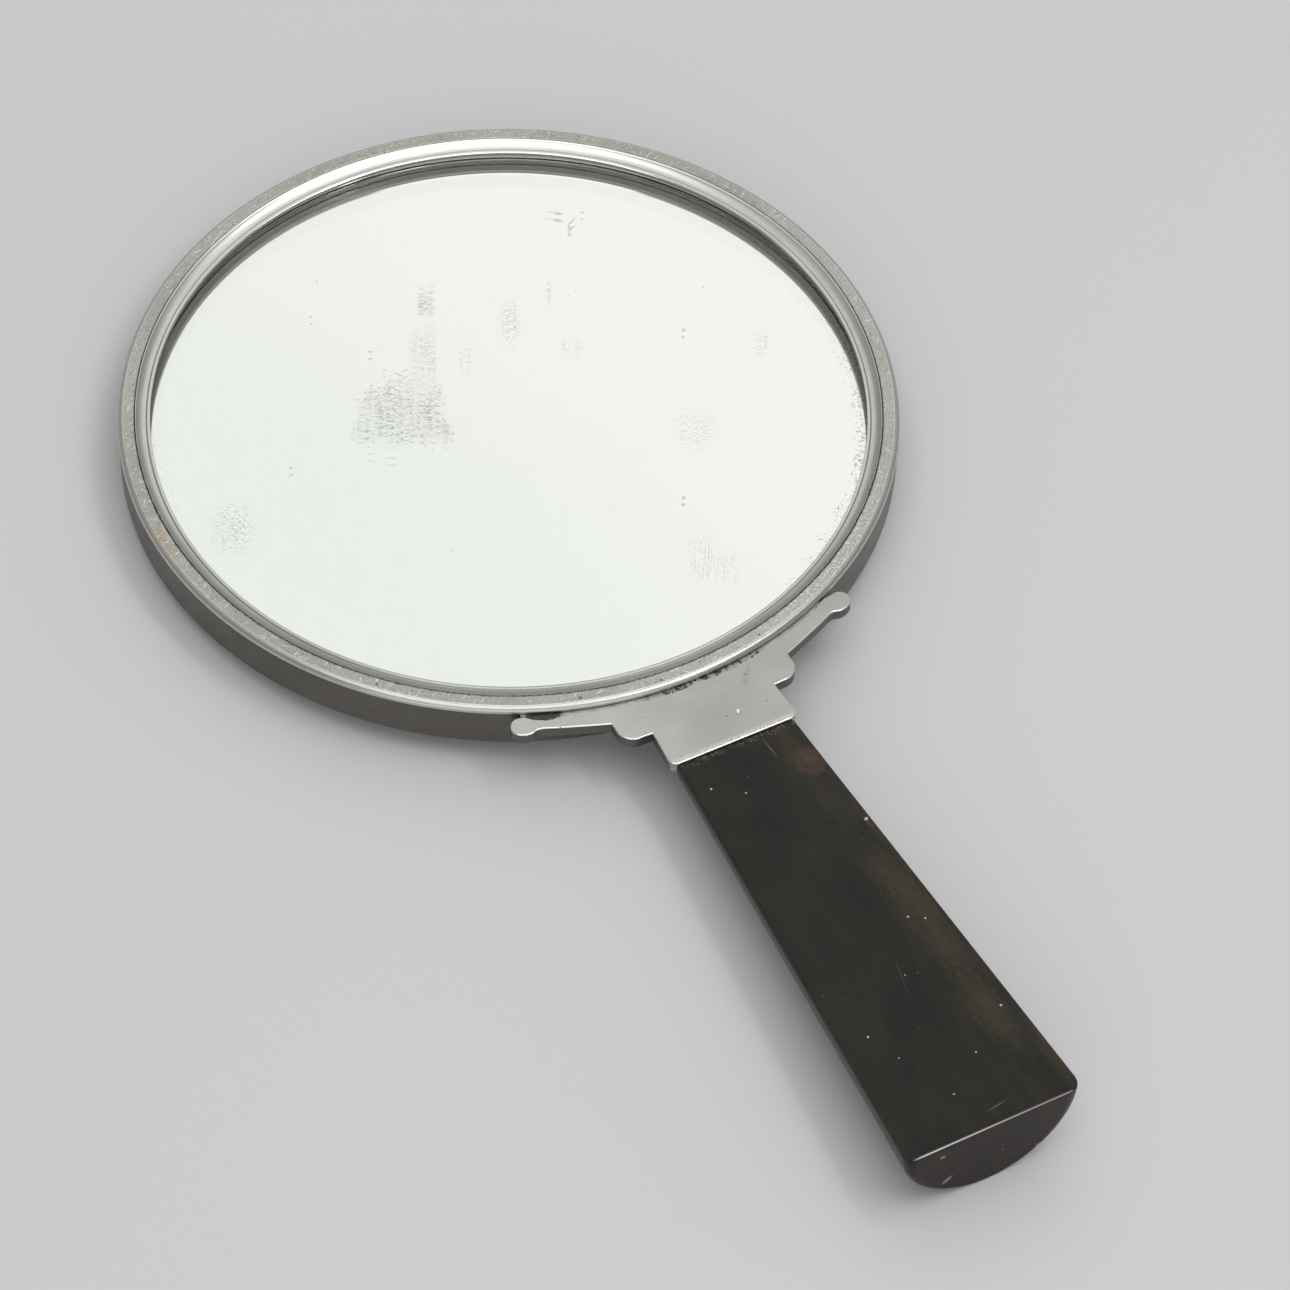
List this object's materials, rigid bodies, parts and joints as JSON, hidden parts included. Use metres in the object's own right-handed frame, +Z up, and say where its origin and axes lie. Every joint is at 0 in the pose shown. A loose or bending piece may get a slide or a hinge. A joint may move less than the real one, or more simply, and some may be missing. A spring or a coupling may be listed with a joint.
{
  "type": "hand mirror",
  "caption": "Round hand mirror: pewter hoop and coved bezel round silvered plate glass, with a cast yoke and a flat-topped half-round horn handle on a tang.",
  "frame": {"origin": "on the surface the mirror lies on, under the middle of its bounding box", "axes": "+Z up, the mirror's face up; the handle runs along -Y and the hoop is at +Y; the mirror lies tilted 1.9 degrees because the handle is deeper than the hoop"},
  "size_m": [0.1416, 0.245, 0.0158],
  "materials": {
    "pewter_hoop": "satin pewter with fine scratches",
    "pewter_bezel": "turned pewter",
    "pewter_back": "satin pewter",
    "pewter_yoke": "satin cast pewter",
    "solder": "dull soft solder",
    "glass": "polished plate glass",
    "silvering": "second-surface silvering",
    "paper_strip": "matte paper",
    "card": "grey-brown board",
    "felt": "thin wool felt",
    "tang_steel": "plain steel rod",
    "tang_cement": "resin cement",
    "horn": "polished dark horn"
  },
  "bodies": {
    "root": {"frame_hoop": "pewter_hoop", "bezel_ring": "pewter_bezel", "mirror_glass": "glass", "silver_coating": "silvering", "glass_edge_strip": "paper_strip", "felt_pad": "felt", "backing_card": "card", "back_plate": "pewter_back", "yoke": "pewter_yoke", "solder_seam_left": "solder", "solder_seam_right": "solder", "tang": "tang_steel", "tang_cement": "tang_cement", "handle": "horn"}
  },
  "joints": []
}
